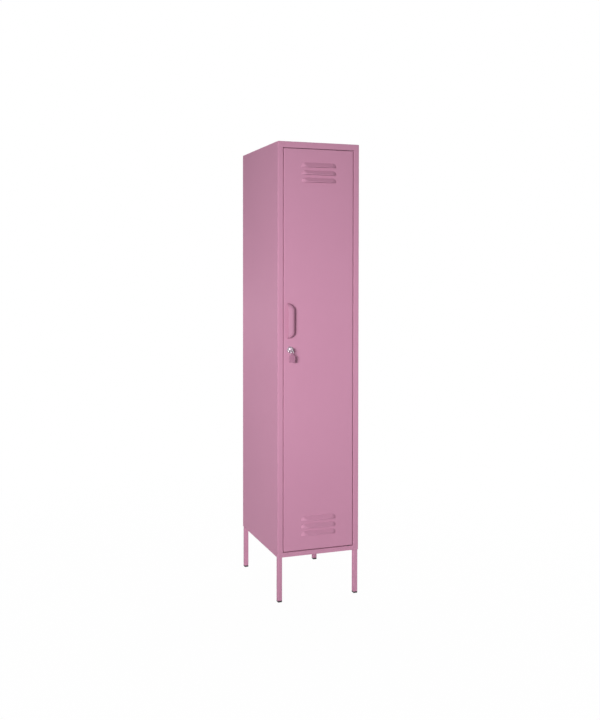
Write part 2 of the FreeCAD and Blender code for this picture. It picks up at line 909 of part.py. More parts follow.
def lock_cam():
    """Arm that hangs down when unlocked and turns behind the strike to lock."""
    reach = lock_x - opening_left - strike_width + cam_bite
    half = cam_width / 2
    points = [(-half, -reach), (half, -reach), (half, half), (-half, half)]
    arm = rounded_face(points, [half / 2, half / 2, half / 2, half / 2], on_xz)
    cam = moved(arm.extrude(along_y * cam_thickness), Vector(lock_x, cam_y, lock_z))
    side = tang_side / 2 + running_fit
    window = block(
        (lock_x - side, lock_x + side), (cam_y - overrun, cam_y + overrun), (lock_z - side, lock_z + side)
    )
    return cam.cut(window)


def cam_screw():
    profile = [(0, -cam_screw_length), (cam_screw_radius, -cam_screw_length), (cam_screw_radius, 0)]
    profile += [(cam_screw_head_radius, 0), (cam_screw_head_radius, cam_screw_head / 2)]
    profile += [(cam_screw_head_radius / 2, cam_screw_head), (0, cam_screw_head)]
    return turned(profile, Vector(lock_x, cam_y + cam_thickness, lock_z), along_y)


def key():
    """Flat key in the plug: round bow with a ring hole, neck and notched blade."""
    half = key_thickness / 2
    x_ends = (lock_x - half, lock_x + half)
    tip = lock_face_y + key_blade_length
    blade_half = key_blade_height / 2
    neck_half = key_neck_height / 2
    blade = block(x_ends, (key_shoulder_y, tip), (lock_z - blade_half, lock_z + blade_half))
    neck = block(x_ends, (key_bow_y, key_shoulder_y), (lock_z - neck_half, lock_z + neck_half))
    bow = Part.makeCylinder(key_bow_radius, key_thickness, Vector(x_ends[0], key_bow_y, lock_z), along_x)
    ring_hole = hole(Vector(x_ends[0], key_hole_y, lock_z), along_x, key_hole_radius, key_thickness)
    spacing = key_blade_length / (key_notch_count + 1)
    edge = -blade_half
    notch = rounded_face([(-key_notch, edge), (0, edge + key_notch), (key_notch, edge)], [0, 0, 0], on_yz)
    notches = []
    for index in range(key_notch_count):
        place = Vector(x_ends[0], lock_face_y + spacing * (index + 1), lock_z)
        notches.append(moved(notch.extrude(along_x * key_thickness), place))
    return joined(blade, neck, bow).cut([ring_hole] + notches)


def key_ring():
    centre = Vector(lock_x, key_hole_y, ring_top_z - ring_radius)
    return Part.makeTorus(ring_radius, ring_wire, centre, along_y)


def key_tag():
    """Leather strip folded round the ring, so that its two layers hang flat below it."""
    half_neck = tag_neck_width / 2
    rise = ring_radius - math.sqrt(ring_radius ** 2 - half_neck ** 2)
    wire_top = rise + ring_wire * ring_radius / math.sqrt(ring_radius ** 2 - half_neck ** 2)
    bore = (wire_top + ring_wire) / 2 + running_gap
    loop_z = ring_bottom_z + (wire_top - ring_wire) / 2
    loop_radius = bore + tag_leather
    place = Vector(lock_x - half_neck, key_hole_y, loop_z)
    loop = Part.makeCylinder(loop_radius, tag_neck_width, place, along_x)
    layers = (key_hole_y - tag_thickness / 2, key_hole_y + tag_thickness / 2)
    body_top = loop_z - loop_radius - tag_neck_length
    neck = block((lock_x - half_neck, lock_x + half_neck), layers, (body_top - tag_corner, loop_z))
    half = tag_width / 2
    low = loop_z + loop_radius - tag_length
    points = [(-half, low), (half, low), (half, body_top), (-half, body_top)]
    body = rounded_face(points, [tag_corner] * len(points), on_xz).extrude(along_y * tag_thickness)
    body.translate(Vector(lock_x, layers[0], 0))
    return joined(body, neck, loop).cut(hole(place, along_x, bore, tag_neck_width))


nodes = {
    "left_side_panel": left_side_panel(),
    "right_side_panel": right_side_panel(),
    "back_panel": back_panel(),
    "top_panel": top_panel(),
    "bottom_panel": bottom_panel(),
    "cable_grommet": cable_grommet(),
    "door_buffers": door_buffers(),
    "leg_bolts": leg_bolts(),
    "upper_shelf": shelf(upper_slot),
    "lower_shelf": shelf(lower_slot),
    "shelf_clips": shelf_clips(),
    "hanging_rail": hanging_rail(),
    "rail_brackets": rail_brackets(),
    "upper_hinge_pin": upper_hinge_pin(),
    "lower_hinge_pin": lower_hinge_pin(),
    "door_skin": door_skin(),
    "door_stiffener": door_stiffener(),
    "hinge_plates": hinge_plates(),
    "upper_hinge_bush": upper_hinge_bush(),
    "lower_hinge_bush": lower_hinge_bush(),
    "handle_pull": handle_pull(),
    "handle_screws": handle_screws(),
    "lock_housing": lock_housing(),
    "lock_nut": lock_nut(),
    "lock_plug": lock_plug(),
    "lock_cam": lock_cam(),
    "cam_screw": cam_screw(),
    "key": key(),
    "key_ring": key_ring(),
    "key_tag": key_tag(),
}
for corner, sides in leg_sides.items():
    nodes[f"{corner}_leg"] = leg(*sides)
    nodes[f"{corner}_foot"] = foot_cap(*sides)
for corner, place in strip_places.items():
    nodes[f"{corner}_shelf_strip"] = shelf_strip(*place)

os.makedirs("parts", exist_ok=True)
for name, shape in nodes.items():
    shape.exportStep(f"parts/{name}.step")
    print(name, len(shape.Solids), "solids", "sound" if shape.isValid() else "NOT SOUND")
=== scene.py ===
# %% [markdown]
# # A pink steel locker
# The locker's solids are already built and packed: folded panels, door, legs, lock and inside fittings.
# This lesson dresses them. It sets up the camera and a white studio, mixes the finishes, and models the
# small pieces whose looks need more than a plain solid: the key, its split ring, the stitched leather tag
# and the screws with their sockets.

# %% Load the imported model
import json
import math

import bmesh
import bpy
from mathutils import Color, Matrix, Vector


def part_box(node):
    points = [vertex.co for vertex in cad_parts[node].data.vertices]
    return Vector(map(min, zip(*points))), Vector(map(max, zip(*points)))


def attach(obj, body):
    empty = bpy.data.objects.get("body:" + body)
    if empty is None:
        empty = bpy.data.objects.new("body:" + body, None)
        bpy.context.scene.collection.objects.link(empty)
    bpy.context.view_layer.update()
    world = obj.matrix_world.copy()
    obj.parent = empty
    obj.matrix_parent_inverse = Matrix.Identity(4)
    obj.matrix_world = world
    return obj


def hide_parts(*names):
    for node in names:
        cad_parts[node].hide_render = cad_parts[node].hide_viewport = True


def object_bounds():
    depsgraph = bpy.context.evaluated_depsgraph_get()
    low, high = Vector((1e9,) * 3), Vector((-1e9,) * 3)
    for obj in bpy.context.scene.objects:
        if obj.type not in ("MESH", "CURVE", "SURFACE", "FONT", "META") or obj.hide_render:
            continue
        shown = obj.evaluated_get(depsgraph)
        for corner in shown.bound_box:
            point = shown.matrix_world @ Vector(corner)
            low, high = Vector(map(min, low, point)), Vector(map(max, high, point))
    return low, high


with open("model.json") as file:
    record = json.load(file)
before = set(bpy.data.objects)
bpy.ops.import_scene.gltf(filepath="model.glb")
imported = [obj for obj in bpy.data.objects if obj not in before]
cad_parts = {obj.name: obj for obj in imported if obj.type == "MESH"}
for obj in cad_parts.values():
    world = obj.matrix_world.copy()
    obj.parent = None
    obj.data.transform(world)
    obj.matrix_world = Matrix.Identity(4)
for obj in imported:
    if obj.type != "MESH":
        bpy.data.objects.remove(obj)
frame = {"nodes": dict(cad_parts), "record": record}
cad_low, cad_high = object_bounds()
nodes = frame["nodes"]
MM = 0.001
print("nodes", len(nodes), "box", [round(v, 4) for v in cad_low], [round(v, 4) for v in cad_high])

# %% [markdown]
# ## Camera
# The photo looks at the locker from its left and a little above the middle. A camera could be set by eye, but
# a fit is surer: the place, turn and lens come from the six corners of the body that show, and are written
# from the body's front left corner. A nearly level camera keeps uprights parallel, so most of the framing is
# done by shifting the sensor.

# %% Camera from the fitted view
IMAGE_WIDTH, IMAGE_HEIGHT = 600, 720
SENSOR_WIDTH = 36
FOCAL_PIXELS = 864.1
AXIS_PIXEL = (255.25, 290.85)
CAMERA_FROM_CORNER = Vector((-1.1513, -3.2050, 1.3115))
CAMERA_TURN = math.radians(18.264)
CAMERA_DIP = math.radians(1.2)

side_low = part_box("left_side_panel")[0]
corner = Vector((side_low.x, side_low.y, 0))
camera_data = bpy.data.cameras.new("photo_camera")
camera_data.sensor_width = SENSOR_WIDTH
camera_data.lens = SENSOR_WIDTH * FOCAL_PIXELS / IMAGE_HEIGHT
camera_data.shift_x = (IMAGE_WIDTH / 2 - AXIS_PIXEL[0]) / IMAGE_HEIGHT
camera_data.shift_y = (AXIS_PIXEL[1] - IMAGE_HEIGHT / 2) / IMAGE_HEIGHT
camera = bpy.data.objects.new("photo_camera", camera_data)
camera.location = corner + CAMERA_FROM_CORNER
camera.rotation_euler = (math.pi / 2 - CAMERA_DIP, 0, -CAMERA_TURN)
bpy.context.collection.objects.link(camera)
bpy.context.scene.camera = camera
print("camera", [round(v, 3) for v in camera.location], "lens", round(camera_data.lens, 2))

# %% [markdown]
# ## Writing materials as sums
# Shader nodes could be wired one by one, but their maths reads best as plain expressions. `Value` wraps a
# socket, and each operator adds a Math node. `Wiring` has one way to add any other node: its type, its
# settings, then its sockets. `Finish` is the wiring of one material, with the nodes that the finishes share.


# %% Socket arithmetic
class Value:
    """A socket that can be added, multiplied and so on."""

    def __init__(self, wiring, socket):
        self.wiring = wiring
        self.socket = socket

    def math(self, operation, first, second):
        return self.wiring.node("ShaderNodeMath", {"operation": operation}, {0: first, 1: second})

    def __add__(self, other):
        return self.math("ADD", self, other)

    def __mul__(self, other):
        return self.math("MULTIPLY", self, other)

    def __sub__(self, other):
        return self.math("SUBTRACT", self, other)

    def __rsub__(self, other):
        return self.math("SUBTRACT", other, self)

    def largest(self, other):
        return self.math("MAXIMUM", self, other)

    __radd__ = __add__
    __rmul__ = __mul__


print("socket arithmetic ready")


# %% Node tree
class Wiring:
    """A node tree with one method for every node."""

    def __init__(self, tree):
        self.tree = tree

    def connect(self, socket, value):
        if isinstance(value, Value):
            self.tree.links.new(value.socket, socket)
        else:
            socket.default_value = value

    def node(self, kind, settings=None, inputs=None, output=0):
        made = self.tree.nodes.new(kind)
        for key, value in (settings or {}).items():
            if key == "stops":
                for element, (position, shade) in zip(made.color_ramp.elements, value):
                    element.position = position
                    element.color = (shade, shade, shade, 1)
            else:
                setattr(made, key, value)
        for key, value in (inputs or {}).items():
            self.connect(made.inputs[key], value)
        return Value(self, made.outputs[output])

    def looked_at(self):
        """1 for rays from the camera, a reflection or glass, and 0 for rays that only gather light."""
        kinds = ("Camera", "Glossy", "Transmission")
        seen, mirrored, refracted = [
            self.node("ShaderNodeLightPath", output=f"Is {kind} Ray") for kind in kinds
        ]
        return seen.largest(mirrored).largest(refracted)


print("node tree ready")

# %% Material
MIX_FACTOR, MIX_FIRST, MIX_SECOND, MIX_RESULT = 0, 6, 7, 2
EDGE_SAMPLES = 6


class Finish(Wiring):
    """A material with its Principled shader and the nodes that the finishes share."""

    def __init__(self, name, **sockets):
        self.material = bpy.data.materials.new(name)
        self.material.use_nodes = True
        super().__init__(self.material.node_tree)
        self.shader = self.tree.nodes["Principled BSDF"]
        self.place = self.node("ShaderNodeTexCoord", output="Object")
        self.set(**sockets)

    def set(self, **sockets):
        for key, value in sockets.items():
            self.connect(self.shader.inputs[key.replace("_", " ")], value)

    def noise(self, size, detail):
        """Noise from 0 to 1 whose lumps are about the given size in metres."""
        inputs = {"Vector": self.place, "Scale": 1 / size, "Detail": detail}
        return self.node("ShaderNodeTexNoise", {}, inputs)

    def ramp(self, value, low, high):
        return self.node("ShaderNodeValToRGB", {"stops": [(low, 0), (high, 1)]}, {"Fac": value})

    def blend(self, factor, first, second):
        inputs = {MIX_FACTOR: factor, MIX_FIRST: first, MIX_SECOND: second}
        return self.node("ShaderNodeMix", {"data_type": "RGBA"}, inputs, MIX_RESULT)

    def edge_normal(self, radius):
        """Normals as if each sharp edge were rounded to the given radius."""
        return self.node("ShaderNodeBevel", {"samples": EDGE_SAMPLES}, {"Radius": radius})

    def bump(self, height, relief, strength, edge=None):
        """Fine relief, on top of edges that look rounded."""
        inputs = {"Height": height, "Distance": relief, "Strength": strength}
        if edge:
            inputs["Normal"] = edge
        self.set(Normal=self.node("ShaderNodeBump", {}, inputs))


def srgb(*levels):
    """Linear colour from the 0 to 255 levels that a picture shows."""
    return (*Color([level / 255 for level in levels]).from_srgb_to_scene_linear(), 1)


print("middle grey is", round(srgb(128, 128, 128)[0], 4))

# %% [markdown]
# ## Powder coat
# The steel is sprayed with powder and baked, which leaves a satin skin with a faint orange peel about 2 mm
# across. A picture of such a skin would repeat and blur, so noise makes it. A fine noise gives the relief. A
# slow one changes the pink and the gloss a little over each panel, as on a real coat. The Bevel node rounds
# sharp sheet edges so that they catch the light, and where its normal leaves the true one the coat is painted
# paler, a painted highlight along each edge.

# %% Pink powder coat
PINK = srgb(203, 146, 173)
PINK_DEEP = srgb(198, 140, 168)
# The third pink is a painted highlight for sheet edges.
PINK_EDGE_HIGHLIGHT = srgb(216, 166, 190)
CLOUD_SIZE, PEEL_SIZE, GRIT_SIZE = 350 * MM, 2.2 * MM, 0.6 * MM
EDGE_RADIUS = 0.7 * MM
EDGE_HIGHLIGHT_SHARE = 0.5
EDGE_START, EDGE_FULL = 0.02, 0.3
SATIN, SATIN_BY_CLOUD, SATIN_BY_GRIT = 0.48, 0.08, 0.06
PEEL_SHARE = 0.8
PEEL_RELIEF = 0.06 * MM
PEEL_STRENGTH = 0.5

coat = Finish("pink_powder_coat", Specular_IOR_Level=0.07)
cloud = coat.noise(CLOUD_SIZE, detail=3.0)
peel = coat.noise(PEEL_SIZE, detail=2.0)
grit = coat.noise(GRIT_SIZE, detail=1.0)
rounded = coat.edge_normal(EDGE_RADIUS)
flat = coat.node("ShaderNodeNewGeometry", output="Normal")
along = coat.node("ShaderNodeVectorMath", {"operation": "DOT_PRODUCT"}, {0: rounded, 1: flat}, "Value")
# Painted highlight: the coat is painted paler where the rounded normal turns away from the true one.
painted_edge_highlight = coat.ramp(1 - along, EDGE_START, EDGE_FULL)
coat.set(Base_Color=coat.blend(EDGE_HIGHLIGHT_SHARE * painted_edge_highlight, coat.blend(cloud, PINK_DEEP, PINK), PINK_EDGE_HIGHLIGHT))
coat.set(Roughness=SATIN + SATIN_BY_CLOUD * cloud + SATIN_BY_GRIT * grit)
coat.bump(PEEL_SHARE * peel + (1 - PEEL_SHARE) * grit, PEEL_RELIEF, PEEL_STRENGTH, rounded)
print("powder coat", [round(v, 3) for v in PINK])

# %% [markdown]
# ## Metals, plastics and rubber
# The lock and key are chrome plated, the fasteners and inside fittings are zinc plated, the foot caps,
# grommet and buffers are dark plastic and rubber, and the bushes are black nylon. Each has its own grain: a
# haze on chrome, a dull crystal pattern on zinc, and a moulded texture on plastic. Each could have a cell of
# its own nodes, but they differ only in their numbers, so one function mixes them all.


# %% Grained finish
def grained(name, shades, grain, detail, roughness, relief, strength, edge=None, fine=None, **sockets):
    """Finish with a grain between two shades and two roughnesses, and with a fine relief."""
    finish = Finish(name, **sockets)
    pattern = finish.noise(grain, detail)
    smooth, rough = roughness
    finish.set(Base_Color=finish.blend(pattern, *shades))
    finish.set(Roughness=smooth + (rough - smooth) * pattern)
    height = finish.noise(fine, detail=2.0) if fine else pattern
    finish.bump(height, relief, strength, finish.edge_normal(edge) if edge else None)
    print(name, "with a grain of", round(grain / MM, 2), "mm")
    return finish


# %% Chrome and zinc
chrome = grained(
    "polished_chrome",
    # Both chrome shades carry a faint pink tint, a painted reflection of the pink sheet around the lock and
    # key.
    shades=(srgb(163, 152, 160), srgb(188, 178, 185)),
    grain=4 * MM,
    detail=3.0,
    roughness=(0.22, 0.34),
    relief=0.01 * MM,
    strength=0.4,
    edge=0.3 * MM,
    fine=0.6 * MM,
    Metallic=1.0,
)
zinc = grained(
    "zinc_plate",
    shades=(srgb(168, 168, 172), srgb(206, 206, 208)),
    grain=3.5 * MM,
    detail=4.0,
    roughness=(0.28, 0.46),
    relief=0.03 * MM,
    strength=0.5,
    edge=0.3 * MM,
    Metallic=1.0,
)

# %% Foot plastic, nylon and rubber
foot_plastic = grained(
    "foot_plastic",
    shades=(srgb(38, 33, 36), srgb(52, 46, 50)),
    grain=1.2 * MM,
    detail=3.0,
    roughness=(0.45, 0.65),
    relief=0.08 * MM,
    strength=0.6,
    edge=0.6 * MM,
)
nylon = grained(
    "black_nylon",
    shades=(srgb(44, 40, 43), srgb(60, 56, 59)),
    grain=6 * MM,
    detail=2.0,
    roughness=(0.38, 0.48),
    relief=0.02 * MM,
    strength=0.4,
    edge=0.3 * MM,
    fine=0.8 * MM,
    Specular_IOR_Level=0.3,
)
rubber = grained(
    "black_rubber",
    shades=(srgb(34, 33, 34), srgb(58, 56, 57)),
    grain=3 * MM,
    detail=4.0,
    roughness=(0.6, 0.8),
    relief=0.06 * MM,
    strength=0.5,
    edge=0.4 * MM,
    Specular_IOR_Level=0.3,
)

# %% [markdown]
# ## Leather and thread
# The tag is dyed leather in a deeper pink. A noise would look like plaster, because leather shows small
# pebbled cells. A Voronoi pattern gives them: its distance to the cell's edge is the crease between pebbles.
# The creases are darker and less smooth than the tops. The thread is waxed, with a fine twist that a noise
# stands for at this size.

# %% Leather and thread
LEATHER_CREASE, LEATHER_TOP = srgb(158, 103, 131), srgb(182, 126, 154)
PEBBLE_SIZE, DYE_SIZE = 0.9 * MM, 7 * MM
CREASE_WIDTH = 0.18
PEBBLE_SHARE = 0.6
CREASE_ROUGHNESS, PEBBLE_SMOOTHNESS = 0.68, 0.14
PEBBLE_RELIEF = 0.12 * MM
PEBBLE_STRENGTH = 0.7

leather = Finish("pink_leather", Specular_IOR_Level=0.3)
cells = {"Vector": leather.place, "Scale": 1 / PEBBLE_SIZE}
pebble = leather.node("ShaderNodeTexVoronoi", {"feature": "DISTANCE_TO_EDGE"}, cells)
pebble = leather.ramp(pebble, 0, CREASE_WIDTH)
dye = leather.noise(DYE_SIZE, detail=3.0)
shade = PEBBLE_SHARE * pebble + (1 - PEBBLE_SHARE) * dye
leather.set(Base_Color=leather.blend(shade, LEATHER_CREASE, LEATHER_TOP))
leather.set(Roughness=CREASE_ROUGHNESS - PEBBLE_SMOOTHNESS * pebble)
leather.bump(pebble, PEBBLE_RELIEF, PEBBLE_STRENGTH)
print("leather with pebbles of", round(PEBBLE_SIZE / MM, 2), "mm")

thread = grained(
    "waxed_thread",
    shades=(srgb(196, 148, 172), srgb(222, 182, 201)),
    grain=0.4 * MM,
    detail=2.0,
    roughness=(0.6, 0.8),
    relief=0.08 * MM,
    strength=0.7,
    Specular_IOR_Level=0.3,
)

# %% [markdown]
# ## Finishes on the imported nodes
# The record names a material slot for each node, so the finishes could be given one by one or by that name.
# By name, a new node of the same material is dressed without a change here.

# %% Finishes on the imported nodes
finish_of_slot = {
    "powder_coat": coat,
    "chrome": chrome,
    "zinc_steel": zinc,
    "foot_plastic": foot_plastic,
    "nylon": nylon,
    "rubber": rubber,
    "leather": leather,
}
for part in frame["record"]["subparts"]:
    for slot in nodes[part["node"]].material_slots:
        slot.material = finish_of_slot[part["material_slot"]].material

# %% [markdown]
# ## Handing a shape over
# Each new piece is modelled in a bmesh and ends the same way: doubles are merged so that seams and poles
# close, faces are turned outwards, edges under 35 degrees are smoothed, and the mesh rides on its body. The
# other helpers are the steps that more than one piece takes.

# %% Shape to piece
MERGE_WITHIN = 0.002 * MM
SMOOTH_BELOW = math.radians(35)


def finished(name, shape, finish, body, slot, *replaced):
    """Hand a shape over as a piece that rides on a body and stands for the replaced nodes."""
    bmesh.ops.remove_doubles(shape, verts=shape.verts, dist=MERGE_WITHIN)
    bmesh.ops.recalc_face_normals(shape, faces=shape.faces)
    mesh = bpy.data.meshes.new(name)
    shape.to_mesh(mesh)
    shape.free()
    mesh.shade_smooth()
    mesh.set_sharp_from_angle(angle=SMOOTH_BELOW)
    mesh.materials.append(finish.material)
    made = bpy.data.objects.new(name, mesh)
    bpy.context.collection.objects.link(made)
    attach(made, body)
    if replaced:
        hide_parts(*replaced)
    print(name, len(mesh.polygons), "faces")


print("edges under", round(math.degrees(SMOOTH_BELOW)), "degrees are smooth")

# %% Steps that pieces share
SHARP_ABOVE = math.radians(40)


def verts_in(geometry):
    return [item for item in geometry if isinstance(item, bmesh.types.BMVert)]


def add_plate(shape, width, height, steps=1):
    """Add a flat plate about the origin, divided along its width."""
    verts = bmesh.ops.create_grid(shape, x_segments=steps, y_segments=1, size=0.5)["verts"]
    bmesh.ops.scale(shape, verts=verts, vec=(width, height, 1))
    return verts


def round_corners(shape, verts, radius, segments):
    """Bevel the corners of a flat plate."""
    bmesh.ops.bevel(
        shape, geom=verts, offset=radius, segments=segments, profile=0.5, affect="VERTICES", material=-1
    )


def thicken(shape, faces, offset):
    """Close a flat sheet into a slab by extruding a copy of it."""
    grown = bmesh.ops.extrude_face_region(shape, geom=faces, use_keep_orig=True)["geom"]
    bmesh.ops.translate(shape, verts=verts_in(grown), vec=offset)


def soften(shape, width, segments):
    """Bevel each edge of a shape that turns by more than 40 degrees."""
    sharp = [edge for edge in shape.edges if edge.is_manifold and edge.calc_face_angle() > SHARP_ABOVE]
    bmesh.ops.bevel(
        shape, geom=sharp, offset=width, segments=segments, profile=0.5, affect="EDGES", material=-1
    )


def take_in(shape, other):
    """Move another shape into this one."""
    carrier = bpy.data.meshes.new("carrier")
    other.to_mesh(carrier)
    other.free()
    shape.from_mesh(carrier)
    bpy.data.meshes.remove(carrier)


print("edges over", round(math.degrees(SHARP_ABOVE)), "degrees can be softened")

# %% [markdown]
# ## Key
# A cam lock's key is stamped from flat steel: a round bow with a pressed panel and a hole for the ring, a
# neck that stops at the lock's face, and a blade with cuts and a milled groove. Booleans could cut it out,
# but they leave ragged faces, so the bow is a bridge between two circles, and the cuts are lifted points of
# a grid. It is drawn flat, along the key, and set upright at the end.

# %% Key's bow
key_low, key_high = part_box("key")
lock_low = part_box("lock_housing")[0]
key_middle = (key_low + key_high) / 2
KEY_THICKNESS = key_high.x - key_low.x
KEY_SOFTNESS = 0.12 * MM
SOFT_SEGMENTS = 2
BOW_RADIUS = (key_high.z - key_low.z) / 2
BOW_CENTRE = key_low.y + BOW_RADIUS - lock_low.y
BOW_POINTS = 64
BOW_RIM, BOW_PRESS = 0.6 * MM, 0.25 * MM
EYE_RADIUS = 2.5 * MM
EYE_OFFSET = 5.5 * MM
FACING = 0.9


def press_sides(shape, rim, depth):
    """Press both flat sides of a key's part in, inside a rim."""
    bmesh.ops.recalc_face_normals(shape, faces=shape.faces)
    for side in (-1, 1):
        flank = [face for face in shape.faces if face.normal.z * side > FACING]
        bmesh.ops.inset_region(shape, faces=flank, thickness=rim, depth=-depth, use_even_offset=True)


key_shape = bmesh.new()
bmesh.ops.create_circle(key_shape, segments=BOW_POINTS, radius=BOW_RADIUS)
eye = bmesh.ops.create_circle(key_shape, segments=BOW_POINTS, radius=EYE_RADIUS)["verts"]
bmesh.ops.translate(key_shape, verts=eye, vec=(-EYE_OFFSET, 0, 0))
bmesh.ops.bridge_loops(key_shape, edges=key_shape.edges[:])
bmesh.ops.translate(key_shape, verts=key_shape.verts, vec=(BOW_CENTRE, 0, -KEY_THICKNESS / 2))
thicken(key_shape, key_shape.faces[:], (0, 0, KEY_THICKNESS))
press_sides(key_shape, BOW_RIM, BOW_PRESS)
soften(key_shape, KEY_SOFTNESS, SOFT_SEGMENTS)
print("bow", len(key_shape.faces), "faces")

# %% Key's blade and neck
BLADE_LENGTH = 20 * MM
BLADE_HEIGHT = 8 * MM
BLADE_STEPS = 10
BLADE_RIM, GROOVE_DEPTH = 0.9 * MM, 0.35 * MM
TIP_SHARE = 0.5
SHOULDER = 0.5 * MM
NECK_HEIGHT = 12 * MM
NECK_THINNER = 0.3 * MM
CUTS = {2: 1.2 * MM, 4: 2.0 * MM, 6: 0.7 * MM, 8: 1.6 * MM}

blade = bmesh.new()
add_plate(blade, BLADE_LENGTH, BLADE_HEIGHT, BLADE_STEPS)
bmesh.ops.translate(blade, verts=blade.verts, vec=(BLADE_LENGTH / 2, 0, -KEY_THICKNESS / 2))
columns = {}
for vert in blade.verts:
    columns.setdefault(round(vert.co.x / BLADE_LENGTH * BLADE_STEPS), []).append(vert)
for step, depth in CUTS.items():
    lower = [vert for vert in columns[step] if vert.co.y < 0]
    bmesh.ops.translate(blade, verts=lower, vec=(0, depth, 0))
bmesh.ops.scale(blade, verts=columns[BLADE_STEPS], vec=(1, TIP_SHARE, 1))
bmesh.ops.translate(blade, verts=columns[0], vec=(-SHOULDER, 0, 0))
thicken(blade, blade.faces[:], (0, 0, KEY_THICKNESS))
press_sides(blade, BLADE_RIM, GROOVE_DEPTH)
neck = bmesh.ops.create_cube(blade, size=1)["verts"]
neck_length = -SHOULDER - BOW_CENTRE
bmesh.ops.scale(blade, verts=neck, vec=(neck_length, NECK_HEIGHT, KEY_THICKNESS - NECK_THINNER))
bmesh.ops.translate(blade, verts=neck, vec=(BOW_CENTRE + neck_length / 2, 0, 0))
soften(blade, KEY_SOFTNESS, SOFT_SEGMENTS)
print("blade and neck", len(blade.faces), "faces")

# %% Key set upright in the lock
take_in(key_shape, blade)
upright = Matrix(
    ((0, 0, 1, key_middle.x), (1, 0, 0, lock_low.y), (0, 1, 0, key_middle.z), (0, 0, 0, 1))
)
bmesh.ops.transform(key_shape, matrix=upright, verts=key_shape.verts)
finished("cut_key", key_shape, chrome, "key", "chrome", "key")

# %% [markdown]
# ## Split ring
# A key ring is flat spring wire wound nearly twice round, with its two ends side by side. A torus would show
# one turn only, so one rounded section is spun about the ring's axis with a small step along it at each turn,
# which gives both turns in one go.

# %% Split ring
ring_low, ring_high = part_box("key_ring")
ring_middle = (ring_low + ring_high) / 2
RING_WIRE = (ring_high.y - ring_low.y) / 2
RING_RADIUS = (ring_high.x - ring_low.x) / 2 - RING_WIRE
WIRE_WIDTH = 1.5 * MM
WIRE_HEIGHT = 0.56 * MM
WIRE_CORNER, WIRE_CORNER_SEGMENTS = 0.18 * MM, 3
TURN_GAP = 0.03 * MM
RING_TURNS = 1.93
RING_STEPS = 140

ring_shape = bmesh.new()
add_plate(ring_shape, WIRE_WIDTH, WIRE_HEIGHT)
round_corners(ring_shape, ring_shape.verts[:], WIRE_CORNER, WIRE_CORNER_SEGMENTS)
bmesh.ops.delete(ring_shape, geom=ring_shape.faces[:], context="FACES_ONLY")
travel = (WIRE_HEIGHT + TURN_GAP) * RING_TURNS
on_edge = Matrix.Translation((RING_RADIUS, 0, -travel / 2)) @ Matrix.Rotation(math.pi / 2, 4, "X")
bmesh.ops.transform(ring_shape, matrix=on_edge, verts=ring_shape.verts)
bmesh.ops.spin(
    ring_shape,
    geom=ring_shape.verts[:] + ring_shape.edges[:],
    cent=(0, 0, 0),
    axis=(0, 0, 1),
    dvec=(0, 0, travel / RING_STEPS),
    angle=2 * math.pi * RING_TURNS,
    steps=RING_STEPS,
)
bmesh.ops.holes_fill(ring_shape, edges=[edge for edge in ring_shape.edges if edge.is_boundary])
hanging = Matrix.Translation(ring_middle) @ Matrix.Rotation(-math.pi / 2, 4, "X")
bmesh.ops.transform(ring_shape, matrix=hanging, verts=ring_shape.verts)
finished("split_ring", ring_shape, zinc, "key_ring", "zinc_steel", "key_ring")

# %% [markdown]
# ## Leather tag
# The tag is two leather layers sewn together round a strap that loops over the ring. It is too small and
# stiff to need a cloth simulation, so it is modelled directly. Each layer is a plate with its corners rounded
# by a vertex bevel, made a slab and softened. The strap starts as one short edge, is extruded up, spun over
# the ring, and taken down the other side, so that it has the run of a real strip.

# %% Tag layers
tag_low, tag_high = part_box("key_tag")
tag_middle = (tag_low + tag_high) / 2
LOOP_RADIUS = (tag_high.y - tag_low.y) / 2
LAYER = 1.5 * MM
LAYER_SOFTNESS, LAYER_SEGMENTS = 0.4 * MM, 3
SEAM = 0.1 * MM
NECK_LENGTH = 4 * MM
TAG_CORNER, TAG_CORNER_SEGMENTS = 4 * MM, 8
loop_z = tag_high.z - LOOP_RADIUS
tag_top = loop_z - LOOP_RADIUS - NECK_LENGTH
tag_width = tag_high.x - tag_low.x
tag_height = tag_top - tag_low.z
tag_centre = Vector((tag_middle.x, tag_middle.y, tag_low.z + tag_height / 2))

tag_shape = bmesh.new()
for side in (-1, 1):
    corners = add_plate(tag_shape, tag_width, tag_height)
    round_corners(tag_shape, corners, TAG_CORNER, TAG_CORNER_SEGMENTS)
    layer = [face for face in tag_shape.faces if not any(edge.is_manifold for edge in face.edges)]
    verts = list({vert for face in layer for vert in face.verts})
    bmesh.ops.translate(tag_shape, verts=verts, vec=(0, 0, side * SEAM / 2))
    thicken(tag_shape, layer, (0, 0, side * LAYER))
bmesh.ops.recalc_face_normals(tag_shape, faces=tag_shape.faces)
soften(tag_shape, LAYER_SOFTNESS, LAYER_SEGMENTS)
facing = Matrix.Translation(tag_centre) @ Matrix.Rotation(math.pi / 2, 4, "X")
bmesh.ops.transform(tag_shape, matrix=facing, verts=tag_shape.verts)
print("tag layers", len(tag_shape.faces), "faces")

# %% Strap over the ring
STRAP_WIDTH = 6 * MM
STRAP = 1.3 * MM
STRAP_TUCK = 2 * MM
STRAP_FOOT = 3 * MM
STRAP_BEND = 1.6 * MM
LOOP_STEPS = 16
foot_y = -STRAP - SEAM / 2
foot_z = tag_top - STRAP_TUCK
half_flare = (-LOOP_RADIUS - foot_y) / 2
rise = loop_z - foot_z - STRAP_FOOT - STRAP_BEND

strap = bmesh.new()
ends = [strap.verts.new((tag_middle.x + side * STRAP_WIDTH / 2, foot_y, foot_z)) for side in (-1, 1)]
edge = strap.edges.new(ends)


def pull_edge(edge, offset):
    """Extrude one edge of the strap and return the new far edge."""
    grown = bmesh.ops.extrude_edge_only(strap, edges=[edge])["geom"]
    far = verts_in(grown)
    bmesh.ops.translate(strap, verts=far, vec=offset)
    edges = [item for item in grown if isinstance(item, bmesh.types.BMEdge)]
    return next(item for item in edges if set(item.verts) == set(far))


